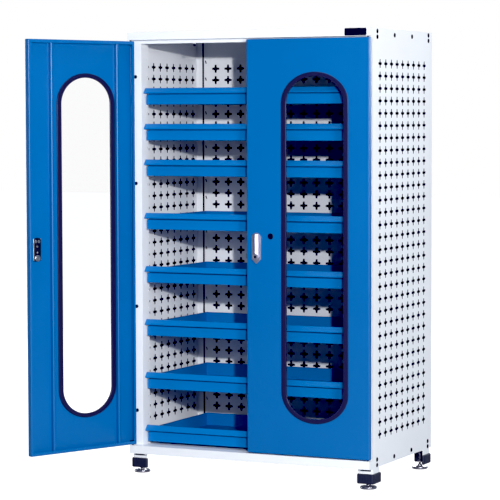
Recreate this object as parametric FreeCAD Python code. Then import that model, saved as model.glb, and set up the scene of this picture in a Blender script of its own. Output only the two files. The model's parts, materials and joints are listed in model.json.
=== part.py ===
"""Tool cabinet with two window doors, perforated carcass and eight sliding trays, in millimetres.

While the pieces are made, X = 0 is the middle of the cabinet, Y = 0 the front plane of the doors
and Z = 0 the floor. At the end everything moves together, so that the origin is the bottom
centre of the whole cabinet's box as it stands, with the left door open.
"""
import FreeCAD
import Part
import math
import os

from FreeCAD import Vector

# Overall size
cabinet_width = 1097.0
cabinet_depth = 688.0
body_height = 1772.0
floor_gap = 85.0
sheet = 1.5
fit_gap = 0.3
pin_gap = 0.05
cut_overrun = 2.0

# Fascias and posts
top_fascia_height = 32.5
bottom_fascia_height = 34.0
post_setback = 34.0
front_post_width = 46.0
front_post_depth = 63.0
rear_post_width = 27.5
rear_post_face_y = 636.0
stop_rail_height = 15.5

# Perforation: four-pointed stars in a grid
hole_pitch_across = 61.0
hole_pitch_up = 50.0
hole_columns_side = 9
hole_columns_back = 16
hole_rows = 31
first_column_y = 110.0
lowest_row_z = 216.0
star_reach = 19.0
star_waist = 5.5
back_panel_y = 645.0
back_panel_side_gap = 4.0

# Slots that the rails hook into
slot_pitch = 75.0
slot_count = 22
slot_lowest_z = 171.0
slot_length = 12.0
slot_width = 4.0
slot_slant = 20.0
slot_from_panel_edge = 9.0
slot_from_post_rear = 9.0

# Screws in the side panels
screw_head_radius = 7.0
screw_head_height = 2.2
screw_shank_radius = 2.5
screw_length = 9.0
screw_corner_y = 80.0
screw_rear_y = 646.0
screw_mid_ys = (265.0, 457.0)
screw_upper_drop = 12.0
screw_lower_drop = 35.0
screw_mid_drop = 23.0
screw_low_rise = 10.0
screw_high_rise = 32.5
screw_mid_rise = 20.0
panel_flange = 44.0

# Doors
door_width = 544.0
door_side_inset = 0.5
door_thickness = 25.0
door_sheet = 1.5
door_top_gap = 4.7
door_bottom_gap = 4.5
door_lip = 14.0
pivot_from_side = 10.0
pivot_from_front = 10.0
pivot_radius = 4.0
pivot_collar_radius = 7.0
pivot_collar_height = 2.0
pivot_engagement = 14.0
pivot_block_width = 17.0
left_door_rest_angle = 113.2

# Door window, with half-ellipse ends
window_from_hinge_edge = 91.2
window_half_width = 149.0
window_end_rise = 126.0
window_bottom_z = 257.3
window_top_z = 1684.2
gasket_width_side = 24.0
gasket_width_end = 18.0
gasket_lip = 2.5
gasket_grip = 10.0
pane_inset = 12.0
pane_thickness = 3.0

# Door stiffening ribs, measured from the hinge edge
rib_places = (78.0, 415.0)
rib_width = 12.0
rib_depth = 17.0
rib_sheet = 1.2

# Lock and handle of each door
handle_from_free_edge = 45.3
handle_width = 41.0
handle_top_z = 1030.0
handle_bottom_z = 902.3
lock_axis_z = 932.0
handle_plate_thickness = 7.0
handle_point_height = 20.0
lever_width = 24.0
lever_thickness = 11.0
lever_edge_thickness = 5.0
lever_top_margin = 5.0
lever_hub_radius = 13.0
spindle_radius = 8.0
key_radius = 5.5
key_depth = 9.0
key_slot_width = 1.6
key_slot_length = 7.0
key_slot_depth = 4.0
lock_plate_width = 38.0
lock_plate_bottom_z = 919.0
lock_plate_top_z = 1015.0
lock_plate_depth = 12.0
lock_plate_sheet = 2.0
rivet_radius = 4.0
rivet_height = 1.5
rivet_drops = (16.0, 37.0, 62.0)
nut_radius = 13.0
nut_height = 4.0
cam_thickness = 3.0
cam_width = 20.0
cam_reach = 62.0
cam_gap = 1.0
plug_from_handle = 62.3
plug_z = 1016.6
plug_radius = 12.5
plug_shank_radius = 10.0
plug_height = 2.5

# Rubber buffers that the doors close on
buffer_radius = 7.5
buffer_from_side = 20.5
buffer_zs = (265.0, 706.5, 1225.0, 1672.0)
top_buffer_radius = 5.8
top_buffer_x = 248.6
top_buffer_z = 1801.0
top_buffer_tab_half_width = 4.0

# Trays
tray_top_zs = (1625.0, 1475.0, 1325.0, 1100.0, 875.0, 650.0, 425.0, 200.0)
tray_front_y = 65.0
tray_rear_y = 610.0
tray_front_height = 69.0
tray_front_side_gap = 6.4
tray_front_return = 10.0
tray_wall_inset = 5.0
tray_wall_drop = 12.5
tray_sheet = 1.2
tray_pull_reach = 14.5
tray_pull_height = 23.0
tray_pull_overlap = 4.5

# Slides of the trays
rail_height = 30.0
rail_flange = 7.0
rail_bottom_rise = 12.0
rail_front_gap = 1.5
runner_web_gap = 1.5

# Feet
bracket_side_leg = 72.0
bracket_cross_leg = 64.0
bracket_sheet = 3.0
bracket_front_y = 35.0
bracket_rear_y = 666.0
bracket_bottom_z = 24.0
bracket_slot_length = 45.0
bracket_slot_height = 6.0
bracket_slot_drop = 9.0
bracket_slot_from_corner = 8.0
bumper_thickness = 7.0
bumper_inner_thickness = 4.0
bumper_end_wrap = 4.0
bumper_bottom_z = 22.0
bumper_top_z = 63.0
pad_radius = 34.0
pad_edge_height = 5.0
pad_neck_height = 16.0
pad_neck_radius = 9.0
pad_crown_radius_share = 0.62
pad_crown_height_share = 0.72
stem_radius = 5.0
stem_top_z = 108.0
lock_nut_radius = 10.0
lock_nut_height = 8.0
foot_from_side = 29.0
foot_front_y = 60.0
foot_rear_y = 630.0

# Bare name plate on the top fascia
badge_width = 95.0
badge_height = 30.0
badge_thickness = 1.2
badge_from_side = 13.5
badge_rise = 1.5

# Places worked out from the sizes above
half_width = cabinet_width / 2
inner_x = half_width - sheet
body_bottom_z = floor_gap
body_top_z = floor_gap + body_height
top_fascia_z = body_top_z - top_fascia_height
bottom_fascia_z = body_bottom_z + bottom_fascia_height
roof_z = body_top_z - sheet
post_inner_x = inner_x - front_post_width
post_rear_y = post_setback + front_post_depth
rear_post_inner_x = inner_x - rear_post_width
door_outer_x = half_width - door_side_inset
door_bottom_z = bottom_fascia_z + door_bottom_gap
door_top_z = top_fascia_z - door_top_gap
pivot_x = door_outer_x - pivot_from_side
window_middle_x = door_outer_x - window_from_hinge_edge - window_half_width
handle_x = door_outer_x - door_width + handle_from_free_edge
tray_half_width = post_inner_x - tray_front_side_gap
tray_wall_x = tray_half_width - tray_wall_inset


def block(x0, x1, y0, y1, z0, z1):
    """A box between two corners."""
    return Part.makeBox(x1 - x0, y1 - y0, z1 - z0, Vector(x0, y0, z0))


def rod_y(radius, x, z, y0, y1):
    """A round bar along Y."""
    return Part.makeCylinder(radius, y1 - y0, Vector(x, y0, z), Vector(0, 1, 0))


def rod_z(radius, x, y, z0, z1):
    """An upright round bar."""
    return Part.makeCylinder(radius, z1 - z0, Vector(x, y, z0), Vector(0, 0, 1))


def outline(points):
    """A closed wire through points."""
    return Part.makePolygon(list(points) + [points[0]])


def prism(points, along):
    """A solid with straight sides."""
    return Part.Face(outline(points)).extrude(along)


def holed_plate(border, holes, along):
    """A flat plate with many holes."""
    return Part.Face([border] + holes).extrude(along)


def other_side(shape):
    """The mirror image across the middle of the cabinet."""
    return shape.mirror(Vector(0, 0, 0), Vector(1, 0, 0))


def both_sides(shape):
    """A right-hand piece and its mirror image, as separate solids."""
    return Part.makeCompound([shape, other_side(shape)])


def perforation_rows():
    """Heights of the rows of star holes."""
    return [lowest_row_z + row * hole_pitch_up for row in range(hole_rows)]


def slot_rows():
    """Heights of the rail slots."""
    return [slot_lowest_z + row * slot_pitch for row in range(slot_count)]


def star(place):
    """The outline of one star hole. place turns a pair of distances from its middle into a point."""
    half = [(0, star_reach), (star_waist, star_waist), (star_reach, 0), (star_waist, -star_waist)]
    points = half + [(-a, -b) for a, b in half]
    return outline([place(a, b) for a, b in points])


def slanted_slot(place):
    """The outline of one narrow slot that leans to the side."""
    lean = math.radians(slot_slant)
    corners = []
    for along, across in ((1, 1), (1, -1), (-1, -1), (-1, 1)):
        u = along * slot_length / 2
        v = across * slot_width / 2
        corners.append(place(u * math.sin(lean) + v * math.cos(lean), u * math.cos(lean) - v * math.sin(lean)))
    return outline(corners)


def screw_places():
    """Places (y, z) of the screws in one side panel."""
    places = []
    for y in (screw_corner_y, screw_rear_y):
        places += [(y, body_top_z - screw_upper_drop), (y, body_top_z - screw_lower_drop)]
        places += [(y, body_bottom_z + screw_low_rise), (y, body_bottom_z + screw_high_rise)]
    for y in screw_mid_ys:
        places += [(y, body_top_z - screw_mid_drop), (y, body_bottom_z + screw_mid_rise)]
    return places


def screw_bores():
    """Clearance for the screw shanks on the right-hand side."""
    bores = []
    for y, z in screw_places():
        start = Vector(half_width - screw_length - cut_overrun, y, z)
        length = screw_length + 2 * cut_overrun
        bores.append(Part.makeCylinder(screw_shank_radius + pin_gap, length, start, Vector(1, 0, 0)))
    return bores


def side_panel():
    """The flat right-hand side with its grid of stars and its screw holes."""
    x = half_width - sheet
    holes = []
    for column in range(hole_columns_side):
        y = first_column_y + column * hole_pitch_across
        for z in perforation_rows():
            holes.append(star(lambda a, b: Vector(x, y + a, z + b)))
    for y, z in screw_places():
        circle = Part.makeCircle(screw_shank_radius + pin_gap, Vector(x, y, z), Vector(1, 0, 0))
        holes.append(Part.Wire(circle))
    border = outline([
        Vector(x, post_setback, body_bottom_z),
        Vector(x, cabinet_depth, body_bottom_z),
        Vector(x, cabinet_depth, body_top_z),
        Vector(x, post_setback, body_top_z),
    ])
    return holed_plate(border, holes, Vector(sheet, 0, 0))


def back_panel():
    """The flat back between the rear posts, with stars and a column of rail slots near each edge."""
    edge_x = rear_post_inner_x - back_panel_side_gap
    y = back_panel_y
    holes = []
    for column in range(hole_columns_back):
        x = (column - (hole_columns_back - 1) / 2) * hole_pitch_across
        for z in perforation_rows():
            holes.append(star(lambda a, b: Vector(x + a, y, z + b)))
    for z in slot_rows():
        x = edge_x - slot_from_panel_edge
        holes.append(slanted_slot(lambda a, b: Vector(x + a, y, z + b)))
        holes.append(slanted_slot(lambda a, b: Vector(-x - a, y, z + b)))
    border = outline([
        Vector(-edge_x, y, bottom_fascia_z),
        Vector(edge_x, y, bottom_fascia_z),
        Vector(edge_x, y, roof_z),
        Vector(-edge_x, y, roof_z),
    ])
    return holed_plate(border, holes, Vector(0, sheet, 0))


def end_box(front_z0, front_z1, skin_z0, ledge_z0, flange_z0, flange_z1):
    """The sheet-metal roof or floor: a skin, a front box with closed ends, and side and rear flanges."""
    pieces = [
        block(-half_width, half_width, 0, sheet, front_z0, front_z1),
        block(-inner_x, inner_x, post_setback, cabinet_depth, skin_z0, skin_z0 + sheet),
        block(-half_width, half_width, 0, post_setback, skin_z0, skin_z0 + sheet),
        block(-half_width, half_width, 0, post_setback, ledge_z0, ledge_z0 + sheet),
        block(-rear_post_inner_x, rear_post_inner_x, cabinet_depth - sheet, cabinet_depth,
              flange_z0, flange_z1),
    ]
    for side in (-1, 1):
        cheek_x = side * (half_width - sheet / 2)
        flange_x = side * (inner_x - sheet / 2)
        pieces.append(block(cheek_x - sheet / 2, cheek_x + sheet / 2, 0, post_setback, front_z0, front_z1))
        pieces.append(block(flange_x - sheet / 2, flange_x + sheet / 2, post_rear_y, rear_post_face_y,
                            flange_z0, flange_z1))
    return pieces[0].fuse(pieces[1:]).removeSplitter()


def pivot_bore(z0, z1):
    """Bores for the door pivots on both sides, between two heights."""
    radius = pivot_radius + pin_gap
    bores = [rod_z(radius, side * pivot_x, pivot_from_front, z0 - cut_overrun, z1 + cut_overrun)
             for side in (-1, 1)]
    return Part.makeCompound(bores)


def top_panel():
    """The roof. Its front box holds the upper pivots over the doors."""
    shell = end_box(top_fascia_z, body_top_z, roof_z, top_fascia_z, body_top_z - panel_flange, body_top_z)
    shell = shell.cut(pivot_bore(top_fascia_z, top_fascia_z + sheet))
    bores = screw_bores()
    return shell.cut(bores + [other_side(bore) for bore in bores])


def bottom_panel():
    """The floor. Its front box holds the lower pivots, and its skin is the lowest shelf."""
    skin_z = bottom_fascia_z - sheet
    shell = end_box(body_bottom_z, bottom_fascia_z, skin_z, body_bottom_z, body_bottom_z, bottom_fascia_z)
    shell = shell.cut(pivot_bore(skin_z, bottom_fascia_z))
    bores = screw_bores() + [
        rod_z(stem_radius + pin_gap, half_width - foot_from_side, y,
              body_bottom_z - cut_overrun, body_bottom_z + sheet)
        for y in (foot_front_y, foot_rear_y)
    ]
    return shell.cut(bores + [other_side(bore) for bore in bores])


def front_post():
    """The right-hand front post: an open channel with rail slots in its inner leg."""
    z0 = bottom_fascia_z
    z1 = roof_z
    face = block(post_inner_x, inner_x, post_setback, post_setback + sheet, z0, z1)
    outer_leg = block(inner_x - sheet, inner_x, post_setback, post_rear_y, z0, z1)
    inner_leg = block(post_inner_x, post_inner_x + sheet, post_setback, post_rear_y, z0, z1)
    slots = []
    for z in slot_rows():
        y = post_rear_y - slot_from_post_rear
        x = post_inner_x - cut_overrun
        slot = slanted_slot(lambda a, b: Vector(x, y + a, z + b))
        slots.append(Part.Face(slot).extrude(Vector(sheet + 2 * cut_overrun, 0, 0)))
    return face.fuse([outer_leg, inner_leg]).removeSplitter().cut(slots + screw_bores())


def rear_post():
    """The right-hand rear post: an open channel that faces the inside."""
    z0 = bottom_fascia_z
    z1 = roof_z
    face = block(rear_post_inner_x, inner_x, rear_post_face_y, rear_post_face_y + sheet, z0, z1)
    leg = block(inner_x - sheet, inner_x, rear_post_face_y, cabinet_depth, z0, z1)
    rear = block(rear_post_inner_x, inner_x, cabinet_depth - sheet, cabinet_depth, z0, z1)
    return face.fuse([leg, rear]).removeSplitter().cut(screw_bores())


def door_stop_rail():
    """The strip under the roof that the doors close on, with a tab for each top buffer."""
    rail_bottom_z = top_fascia_z - stop_rail_height
    rail = block(-post_inner_x, post_inner_x, post_setback, post_setback + sheet, rail_bottom_z, roof_z)
    tabs = []
    for side in (-1, 1):
        x = side * top_buffer_x
        tabs.append(block(x - top_buffer_tab_half_width, x + top_buffer_tab_half_width, post_setback,
                          post_setback + sheet, top_buffer_z, rail_bottom_z))
    return rail.fuse(tabs).removeSplitter()


def carcass_screws():
    """Button-head screws that hold the side panels to the roof, floor and posts."""
    screws = []
    for y, z in screw_places():
        head = Part.makeCylinder(screw_head_radius, screw_head_height, Vector(half_width, y, z),
                                 Vector(1, 0, 0))
        shank_start = Vector(half_width - screw_length, y, z)
        shank = Part.makeCylinder(screw_shank_radius, screw_length, shank_start, Vector(1, 0, 0))
        screw = head.fuse(shank)
        screws += [screw, other_side(screw)]
    return Part.makeCompound(screws)


def door_buffers():
    """Rubber buffers on the post faces, just clear of the doors' swinging corners, and on the tabs
    of the stop rail."""
    corner_y = pivot_from_front + math.hypot(pivot_from_side, door_thickness - pivot_from_front)
    buffers = []
    for side in (-1, 1):
        for z in buffer_zs:
            x = side * (half_width - buffer_from_side)
            buffers.append(rod_y(buffer_radius, x, z, corner_y + fit_gap, post_setback))
        x = side * top_buffer_x
        buffers.append(rod_y(top_buffer_radius, x, top_buffer_z, door_thickness + fit_gap, post_setback))
    return Part.makeCompound(buffers)


def door_pivots():
    """Four pins, each with a collar inside its fascia box and a shank that stands into the door."""
    pins = []
    collar_base = top_fascia_z + sheet
    tip = door_top_z - pivot_engagement
    top_pin = rod_z(pivot_radius, pivot_x, pivot_from_front, tip, collar_base)
    top_collar = rod_z(pivot_collar_radius, pivot_x, pivot_from_front,
                       collar_base, collar_base + pivot_collar_height)
    pins.append(top_pin.fuse(top_collar))
    collar_top = bottom_fascia_z - sheet
    tip = door_bottom_z + pivot_engagement
    low_pin = rod_z(pivot_radius, pivot_x, pivot_from_front, collar_top, tip)
    low_collar = rod_z(pivot_collar_radius, pivot_x, pivot_from_front,
                       collar_top - pivot_collar_height, collar_top)
    pins.append(low_pin.fuse(low_collar))
    return Part.makeCompound(pins + [other_side(pin) for pin in pins])


def rail_z(tray_top_z):
    """Underside of the fixed rails beside one tray."""
    return tray_top_z - tray_front_height + rail_bottom_rise


def fixed_rails():
    """Channels from the front posts' inner legs to the back panel, one beside each end of each tray."""
    rails = []
    x1 = post_inner_x
    y0 = tray_front_y + tray_front_return + rail_front_gap
    for top_z in tray_top_zs:
        z0 = rail_z(top_z)
        z1 = z0 + rail_height
        channel = block(x1 - rail_flange, x1, y0, back_panel_y, z0, z1)
        groove = block(x1 - rail_flange - cut_overrun, x1 - sheet, y0 - cut_overrun,
                       back_panel_y + cut_overrun, z0 + sheet, z1 - sheet)
        rails.append(channel.cut(groove))
    return Part.makeCompound(rails + [other_side(rail) for rail in rails])


def badge_plate():
    """The bare name plate on the top fascia."""
    x1 = half_width - badge_from_side
    z0 = top_fascia_z + badge_rise
    return block(x1 - badge_width, x1, -badge_thickness, 0, z0, z0 + badge_height)


def right_corner_places():
    """The two right-hand bottom corners: outer face y, inward direction, y of the foot."""
    return [(bracket_front_y, 1, foot_front_y), (bracket_rear_y, -1, foot_rear_y)]


def bracket_legs(corner_y, inward):
    """The two upright legs of an angle bracket that meet at the outer corner of the cabinet."""
    ys = sorted((corner_y, corner_y + inward * bracket_side_leg))
    side_leg = block(half_width - bracket_sheet, half_width, ys[0], ys[1], bracket_bottom_z, body_bottom_z)
    ys = sorted((corner_y, corner_y + inward * bracket_sheet))
    cross_leg = block(half_width - bracket_cross_leg, half_width, ys[0], ys[1],
                      bracket_bottom_z, body_bottom_z)
    return side_leg.fuse(cross_leg)


def foot_brackets():
    """An angle bracket under each corner, with a plate that the foot screws into and a slot in the
    cross leg."""
    brackets = []
    for corner_y, inward, foot_y in right_corner_places():
        ys = sorted((corner_y, corner_y + inward * bracket_side_leg))
        plate = block(half_width - bracket_cross_leg, half_width, ys[0], ys[1],
                      body_bottom_z - bracket_sheet, body_bottom_z)
        slot_x1 = half_width - bracket_slot_from_corner
        slot_z1 = body_bottom_z - bracket_slot_drop + bracket_slot_height / 2
        ys = sorted((corner_y - inward * cut_overrun, corner_y + inward * (bracket_sheet + cut_overrun)))
        slot = block(slot_x1 - bracket_slot_length, slot_x1, ys[0], ys[1],
                     slot_z1 - bracket_slot_height, slot_z1)
        bore = rod_z(stem_radius + pin_gap, half_width - foot_from_side, foot_y,
                     body_bottom_z - bracket_sheet - cut_overrun, body_bottom_z + cut_overrun)
        brackets.append(bracket_legs(corner_y, inward).fuse(plate).removeSplitter().cut([slot, bore]))
    return Part.makeCompound(brackets + [other_side(bracket) for bracket in brackets])


def corner_bumpers():
    """Rubber sleeves that wrap the lower part of each foot bracket, inside and outside."""
    bumpers = []
    wall = bumper_thickness + bracket_sheet + bumper_inner_thickness
    for corner_y, inward, _ in right_corner_places():
        outer_y = corner_y - inward * bumper_thickness
        outer_x = half_width + bumper_thickness
        ys = sorted((outer_y, corner_y + inward * (bracket_side_leg + bumper_end_wrap)))
        side_part = block(outer_x - wall, outer_x, ys[0], ys[1], bumper_bottom_z, bumper_top_z)
        ys = sorted((outer_y, outer_y + inward * wall))
        end_x = half_width - bracket_cross_leg - bumper_end_wrap
        cross_part = block(end_x, outer_x, ys[0], ys[1], bumper_bottom_z, bumper_top_z)
        sleeve = side_part.fuse(cross_part).removeSplitter()
        bumpers.append(sleeve.cut(bracket_legs(corner_y, inward)))
    return Part.makeCompound(bumpers + [other_side(bumper) for bumper in bumpers])


def levelling_foot(x, y):
    """A domed pad on a threaded stem, with a lock nut under the bracket's plate."""
    crown_radius = pad_radius * pad_crown_radius_share
    crown_z = pad_neck_height * pad_crown_height_share
    nut_top_z = body_bottom_z - bracket_sheet - fit_gap
    nut_bottom_z = nut_top_z - lock_nut_height
    points = [
        Vector(0, 0, 0),
        Vector(pad_radius, 0, 0),
        Vector(pad_radius, 0, pad_edge_height),
        Vector(crown_radius, 0, crown_z),
        Vector(pad_neck_radius, 0, pad_neck_height),
        Vector(stem_radius, 0, pad_neck_height),
        Vector(stem_radius, 0, nut_bottom_z),
        Vector(lock_nut_radius, 0, nut_bottom_z),
        Vector(lock_nut_radius, 0, nut_top_z),
        Vector(stem_radius, 0, nut_top_z),
        Vector(stem_radius, 0, stem_top_z),
        Vector(0, 0, stem_top_z),
    ]
    foot = Part.Face(outline(points)).revolve(Vector(0, 0, 0), Vector(0, 0, 1), 360)
    foot.translate(Vector(x, y, 0))
    return foot


def tray(top_z):
    """One tray: an open box with a wider front, short returns at its ends and a sloping pull along
    its upper edge."""
    z0 = top_z - tray_front_height
    wall_top_z = top_z - tray_wall_drop
    box = block(-tray_wall_x, tray_wall_x, tray_front_y, tray_rear_y, z0, wall_top_z)
    hollow = block(tray_sheet - tray_wall_x, tray_wall_x - tray_sheet, tray_front_y + tray_sheet,
                   tray_rear_y - tray_sheet, z0 + tray_sheet, wall_top_z + cut_overrun)
    front = block(-tray_half_width, tray_half_width, tray_front_y, tray_front_y + tray_sheet, z0, top_z)
    pull_x = tray_half_width + tray_pull_overlap
    tip_y = tray_front_y - tray_pull_reach
    slope_end_z = top_z - tray_pull_height + 2 * tray_sheet
    pull = prism([
        Vector(-pull_x, tray_front_y + tray_sheet, top_z),
        Vector(-pull_x, tray_front_y, top_z),
        Vector(-pull_x, tip_y, slope_end_z),
        Vector(-pull_x, tip_y, top_z - tray_pull_height),
        Vector(-pull_x, tip_y + tray_sheet, top_z - tray_pull_height),
        Vector(-pull_x, tip_y + tray_sheet, slope_end_z - tray_sheet),
        Vector(-pull_x, tray_front_y, top_z - 2 * tray_sheet),
        Vector(-pull_x, tray_front_y + tray_sheet, top_z - 2 * tray_sheet),
    ], Vector(2 * pull_x, 0, 0))
    returns = []
    for side in (-1, 1):
        xs = sorted((side * tray_half_width, side * (tray_half_width - tray_sheet)))
        returns.append(block(xs[0], xs[1], tray_front_y, tray_front_y + tray_front_return,
                             z0, top_z - tray_pull_height))
    return box.cut(hollow).fuse([front, pull] + returns).removeSplitter()


def tray_runners(top_z):
    """The two channels on a tray's side walls that ride inside the fixed rails."""
    z0 = rail_z(top_z) + sheet + fit_gap
    z1 = rail_z(top_z) + rail_height - sheet - fit_gap
    x0 = tray_wall_x
    x1 = post_inner_x - sheet - runner_web_gap
    y0 = tray_front_y + tray_front_return + fit_gap
    bar = block(x0, x1, y0, tray_rear_y, z0, z1)
    groove = block(x0 + sheet, x1 + cut_overrun, y0 - cut_overrun, tray_rear_y + cut_overrun,
                   z0 + sheet, z1 - sheet)
    return both_sides(bar.cut(groove))


def window_end(middle, half, rise, upward):
    """One half-ellipse end of the window, from its right side over the peak to its left side."""
    right = middle + Vector(half, 0, 0)
    left = middle - Vector(half, 0, 0)
    peak = middle + Vector(0, 0, upward * rise)
    major_point, minor_point = (right, peak) if half >= rise else (peak, right)
    ellipse = Part.Ellipse(major_point, minor_point, middle)
    start, end, top = [ellipse.parameter(place) % (2 * math.pi) for place in (right, left, peak)]
    if (top - start) % (2 * math.pi) > (end - start) % (2 * math.pi):
        start, end = end, start
    return Part.ArcOfEllipse(ellipse, start, end).toShape()


def window_outline(inset_side, inset_end, y):
    """Two straight sides with half-ellipse ends, drawn in from the window's outer edge."""
    half = window_half_width - inset_side
    rise = window_end_rise - inset_end
    low_z = window_bottom_z + window_end_rise
    high_z = window_top_z - window_end_rise
    edges = [window_end(Vector(window_middle_x, y, high_z), half, rise, 1),
             window_end(Vector(window_middle_x, y, low_z), half, rise, -1)]
    for side in (-1, 1):
        x = window_middle_x + side * half
        edges.append(Part.makeLine(Vector(x, y, low_z), Vector(x, y, high_z)))
    return Part.Wire(Part.__sortEdges__(edges))


def window_slab(inset_side, inset_end, y0, y1):
    """A solid of the window's outline between two depths."""
    return Part.Face(window_outline(inset_side, inset_end, y0)).extrude(Vector(0, y1 - y0, 0))


def door_skin():
    """The right door's outer face: a flat sheet with the window and the spindle's hole."""
    face = block(door_outer_x - door_width, door_outer_x, 0, door_sheet, door_bottom_z, door_top_z)
    window = window_slab(gasket_grip, gasket_grip, -cut_overrun, door_sheet + cut_overrun)
    spindle_bore = rod_y(spindle_radius + pin_gap, handle_x, lock_axis_z,
                         -cut_overrun, door_sheet + cut_overrun)
    return face.cut([window, spindle_bore])


def door_edges():
    """The door pan's four folded edges behind its face, each a return wall with an inner lip."""
    x0 = door_outer_x - door_width
    x1 = door_outer_x
    rim = block(x0, x1, door_sheet, door_thickness, door_bottom_z, door_top_z)
    hollow = block(x0 + door_sheet, x1 - door_sheet, 0, door_thickness - door_sheet,
                   door_bottom_z + door_sheet, door_top_z - door_sheet)
    mouth = block(x0 + door_lip, x1 - door_lip, 0, door_thickness + cut_overrun,
                  door_bottom_z + door_lip, door_top_z - door_lip)
    rim = rim.cut([hollow, mouth, pivot_bore(door_bottom_z, door_top_z)])
    spans = [
        (x0, x0 + door_lip, door_bottom_z, door_top_z),
        (x1 - door_lip, x1, door_bottom_z, door_top_z),
        (x0 + door_lip, x1 - door_lip, door_bottom_z, door_bottom_z + door_lip),
        (x0 + door_lip, x1 - door_lip, door_top_z - door_lip, door_top_z),
    ]
    folds = []
    for left_x, right_x, low_z, high_z in spans:
        folds += rim.common(block(left_x, right_x, 0, door_thickness + cut_overrun, low_z, high_z)).Solids
    return Part.makeCompound(folds)


def pivot_blocks():
    """Two blocks inside the door's hinge corners, bored for the pivots."""
    x1 = door_outer_x - door_sheet
    y0 = door_sheet
    blocks = []
    spans = [
        (door_top_z - door_sheet - pivot_engagement, door_top_z - door_sheet),
        (door_bottom_z + door_sheet, door_bottom_z + door_sheet + pivot_engagement),
    ]
    for z0, z1 in spans:
        body = block(x1 - pivot_block_width, x1, y0, y0 + pivot_block_width, z0, z1)
        blocks.append(body.cut(rod_z(pivot_radius + pin_gap, pivot_x, pivot_from_front,
                                     z0 - cut_overrun, z1 + cut_overrun)))
    return Part.makeCompound(blocks)


def door_ribs():
    """Two upright channels on the inside of the door's skin."""
    ribs = []
    z0 = door_bottom_z + door_sheet
    z1 = door_top_z - door_sheet
    for place in rib_places:
        x1 = door_outer_x - place
        x0 = x1 - rib_width
        bar = block(x0, x1, door_sheet, rib_depth, z0, z1)
        groove = block(x0 + rib_sheet, x1 - rib_sheet, door_sheet - cut_overrun, rib_depth - rib_sheet,
                       z0 - cut_overrun, z1 + cut_overrun)
        ribs.append(bar.cut(groove))
    return Part.makeCompound(ribs)


def window_gasket():
    """The rubber frame that grips the edge of the door skin and the pane."""
    frame = window_slab(0, 0, -gasket_lip, pane_thickness + gasket_lip)
    opening = window_slab(gasket_width_side, gasket_width_end, -gasket_lip - cut_overrun,
                          pane_thickness + gasket_lip + cut_overrun)
    frame = frame.cut(opening)
    skin_band = window_slab(-cut_overrun, -cut_overrun, 0, door_sheet)
    skin_band = skin_band.cut(window_slab(gasket_grip, gasket_grip, 0, door_sheet))
    return frame.cut([skin_band, window_pane()])


def window_pane():
    """The clear pane."""
    return window_slab(pane_inset, pane_inset, 0, pane_thickness)


def handle_plate():
    """The fixed shield under the lever, round at the top and pointed at the bottom."""
    half = handle_width / 2
    y0 = -handle_plate_thickness
    shoulder_z = handle_top_z - half
    point_z = handle_bottom_z + handle_point_height
    left = Vector(handle_x - half, y0, shoulder_z)
    right = Vector(handle_x + half, y0, shoulder_z)
    low_left = Vector(handle_x - half, y0, point_z)
    low_right = Vector(handle_x + half, y0, point_z)
    tip = Vector(handle_x, y0, handle_bottom_z)
    crown = Part.Arc(left, Vector(handle_x, y0, handle_top_z), right).toShape()
    sides = Part.makePolygon([right, low_right, tip, low_left, left])
    plate = Part.Face(Part.Wire([crown] + sides.Edges)).extrude(Vector(0, handle_plate_thickness, 0))
    return plate.cut(rod_y(spindle_radius + pin_gap, handle_x, lock_axis_z, y0 - cut_overrun, cut_overrun))


def lever():
    """The turning lever: a faceted bar on a round hub, with a spindle through the door and a socket
    for the key."""
    base_y = -handle_plate_thickness - fit_gap
    edge_y = base_y - lever_edge_thickness
    ridge_y = base_y - lever_thickness
    half = lever_width / 2
    section = [(-half, base_y), (half, base_y), (half, edge_y), (0, ridge_y), (-half, edge_y)]
    top_z = handle_top_z - lever_top_margin
    bar = prism([Vector(handle_x + x, y, lock_axis_z) for x, y in section], Vector(0, 0, top_z - lock_axis_z))
    hub = rod_y(lever_hub_radius, handle_x, lock_axis_z, ridge_y, base_y)
    spindle = rod_y(spindle_radius, handle_x, lock_axis_z, base_y,
                    lock_plate_depth + lock_plate_sheet + fit_gap)
    socket = rod_y(key_radius + pin_gap, handle_x, lock_axis_z, ridge_y - cut_overrun, ridge_y + key_depth)
    return bar.fuse([hub, spindle]).removeSplitter().cut(socket)


def key_cylinder():
    """The key cylinder in the lever's hub, with its key slot."""
    face_y = -handle_plate_thickness - fit_gap - lever_thickness
    barrel = rod_y(key_radius, handle_x, lock_axis_z, face_y, face_y + key_depth)
    slot = block(handle_x - key_slot_width / 2, handle_x + key_slot_width / 2, face_y - cut_overrun,
                 face_y + key_slot_depth, lock_axis_z - key_slot_length / 2, lock_axis_z + key_slot_length / 2)
    return barrel.cut(slot)


def lock_plate():
    """The folded plate behind the lock, with its bolt and rivets as separate solids."""
    x0 = handle_x - lock_plate_width / 2
    x1 = handle_x + lock_plate_width / 2
    rear_y = lock_plate_depth + lock_plate_sheet
    plate = block(x0, x1, door_sheet, rear_y, lock_plate_bottom_z, lock_plate_top_z)
    hollow = block(x0 + lock_plate_sheet, x1 - lock_plate_sheet, door_sheet - cut_overrun, lock_plate_depth,
                   lock_plate_bottom_z - cut_overrun, lock_plate_top_z + cut_overrun)
    bore = rod_y(spindle_radius + pin_gap, handle_x, lock_axis_z,
                 lock_plate_depth - cut_overrun, rear_y + cut_overrun)
    solids = [plate.cut([hollow, bore])]
    for drop in rivet_drops:
        solids.append(rod_y(rivet_radius, handle_x, lock_plate_top_z - drop, rear_y, rear_y + rivet_height))
    return Part.makeCompound(solids)


def spindle_nut():
    """The round nut that holds the lever's spindle behind the lock plate."""
    y0 = lock_plate_depth + lock_plate_sheet + fit_gap
    return rod_y(nut_radius, handle_x, lock_axis_z, y0, y0 + nut_height)


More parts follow.
